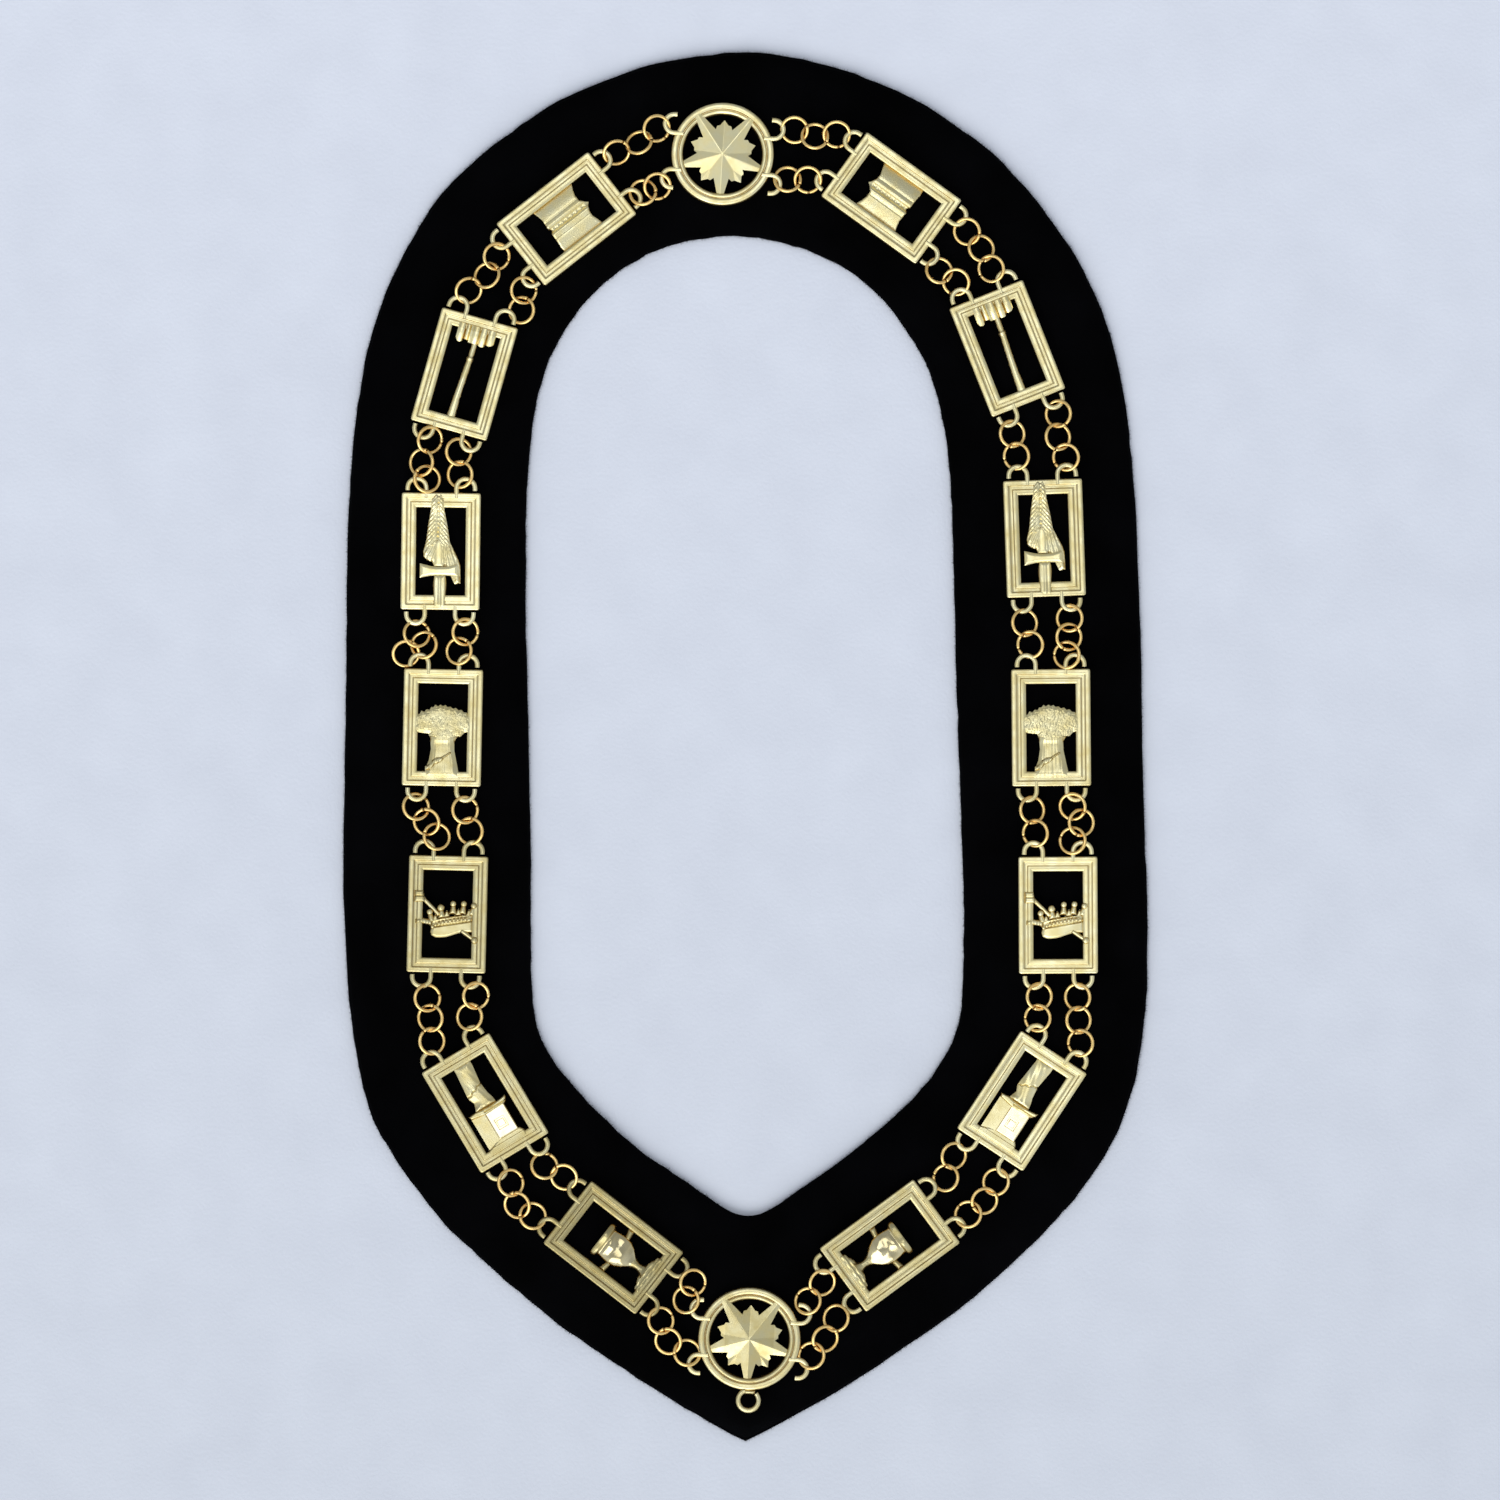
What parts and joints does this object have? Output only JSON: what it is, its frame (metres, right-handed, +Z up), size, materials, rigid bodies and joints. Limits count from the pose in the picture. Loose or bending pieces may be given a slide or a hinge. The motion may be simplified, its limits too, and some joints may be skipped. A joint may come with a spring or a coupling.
{
  "type": "chain of office",
  "caption": "Ceremonial chain collar: gilt openwork links with cast emblems, joined by parallel strands of jump rings, laid on a black velvet band.",
  "frame": {"origin": "middle of the collar's outline, on the flat underside of the velvet", "axes": "+Y towards the neck end and +Z up from the surface that the collar lies on"},
  "size_m": [0.2644, 0.457, 0.0094],
  "materials": {
    "black_velvet": "cut pile velvet",
    "gilt_casting": "satin gold plate on cast relief",
    "gilt_ring_wire": "polished gold-plated wire"
  },
  "bodies": {
    "root": {"velvet_collar": "black_velvet", "star_top": "gilt_casting", "book_left": "gilt_casting", "gavel_left": "gilt_casting", "sword_left": "gilt_casting", "sheaf_left": "gilt_casting", "crown_left": "gilt_casting", "column_left": "gilt_casting", "cup_left": "gilt_casting", "star_bottom": "gilt_casting", "cup_right": "gilt_casting", "column_right": "gilt_casting", "crown_right": "gilt_casting", "sheaf_right": "gilt_casting", "sword_right": "gilt_casting", "gavel_right": "gilt_casting", "book_right": "gilt_casting", "rings_outer_star_top_to_book_left": "gilt_ring_wire", "rings_inner_star_top_to_book_left": "gilt_ring_wire", "rings_outer_book_left_to_gavel_left": "gilt_ring_wire", "rings_inner_book_left_to_gavel_left": "gilt_ring_wire", "rings_outer_gavel_left_to_sword_left": "gilt_ring_wire", "rings_inner_gavel_left_to_sword_left": "gilt_ring_wire", "rings_outer_sword_left_to_sheaf_left": "gilt_ring_wire", "rings_inner_sword_left_to_sheaf_left": "gilt_ring_wire", "rings_outer_sheaf_left_to_crown_left": "gilt_ring_wire", "rings_inner_sheaf_left_to_crown_left": "gilt_ring_wire", "rings_outer_crown_left_to_column_left": "gilt_ring_wire", "rings_inner_crown_left_to_column_left": "gilt_ring_wire", "rings_outer_column_left_to_cup_left": "gilt_ring_wire", "rings_inner_column_left_to_cup_left": "gilt_ring_wire", "rings_outer_cup_left_to_star_bottom": "gilt_ring_wire", "rings_inner_cup_left_to_star_bottom": "gilt_ring_wire", "rings_outer_star_bottom_to_cup_right": "gilt_ring_wire", "rings_inner_star_bottom_to_cup_right": "gilt_ring_wire", "rings_outer_cup_right_to_column_right": "gilt_ring_wire", "rings_inner_cup_right_to_column_right": "gilt_ring_wire", "rings_outer_column_right_to_crown_right": "gilt_ring_wire", "rings_inner_column_right_to_crown_right": "gilt_ring_wire", "rings_outer_crown_right_to_sheaf_right": "gilt_ring_wire", "rings_inner_crown_right_to_sheaf_right": "gilt_ring_wire", "rings_outer_sheaf_right_to_sword_right": "gilt_ring_wire", "rings_inner_sheaf_right_to_sword_right": "gilt_ring_wire", "rings_outer_sword_right_to_gavel_right": "gilt_ring_wire", "rings_inner_sword_right_to_gavel_right": "gilt_ring_wire", "rings_outer_gavel_right_to_book_right": "gilt_ring_wire", "rings_inner_gavel_right_to_book_right": "gilt_ring_wire", "rings_outer_book_right_to_star_top": "gilt_ring_wire", "rings_inner_book_right_to_star_top": "gilt_ring_wire"}
  },
  "joints": []
}
